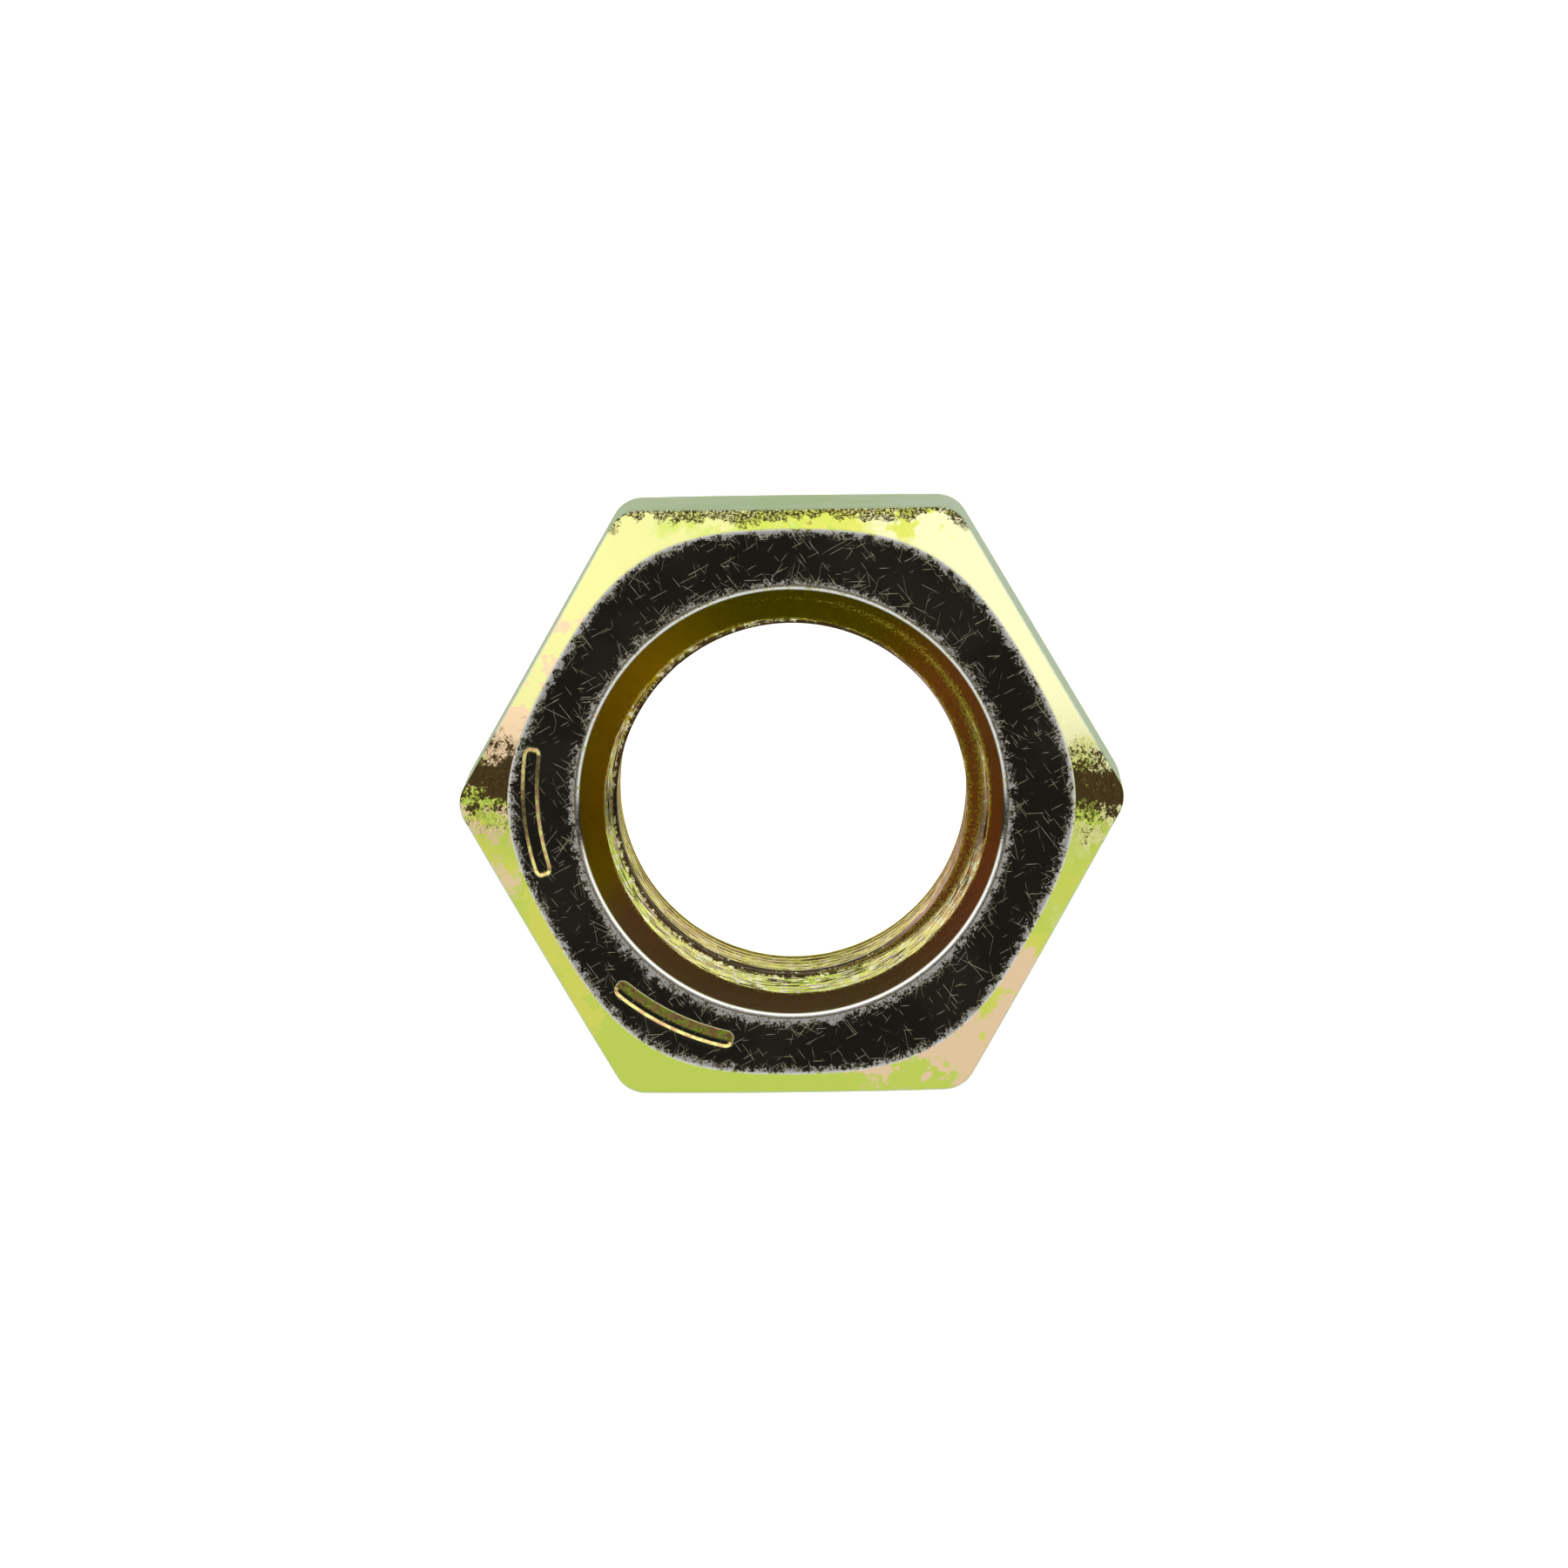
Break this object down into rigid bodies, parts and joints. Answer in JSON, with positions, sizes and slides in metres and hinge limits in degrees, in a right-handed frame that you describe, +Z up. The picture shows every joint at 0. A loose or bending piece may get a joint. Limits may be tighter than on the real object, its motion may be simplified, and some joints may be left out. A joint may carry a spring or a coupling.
{
  "type": "hex nut",
  "caption": "Plain hex nut with chamfered corners on both faces, a countersunk right-hand threaded hole and two sunk grade dashes on one face.",
  "frame": {"origin": "on the thread axis, in the plane of the lower bearing face", "axes": "+Z up the thread axis out of the marked face, +X through a corner of the hexagon, +Y through a flat"},
  "size_m": [0.0215, 0.0188, 0.0111],
  "materials": {
    "plated_steel": "yellow passivated zinc plate over steel: satin gold with lime and pink patches, scratched faces, edges rubbed back to grey zinc"
  },
  "bodies": {
    "root": {"nut_body": "plated_steel"}
  },
  "joints": []
}
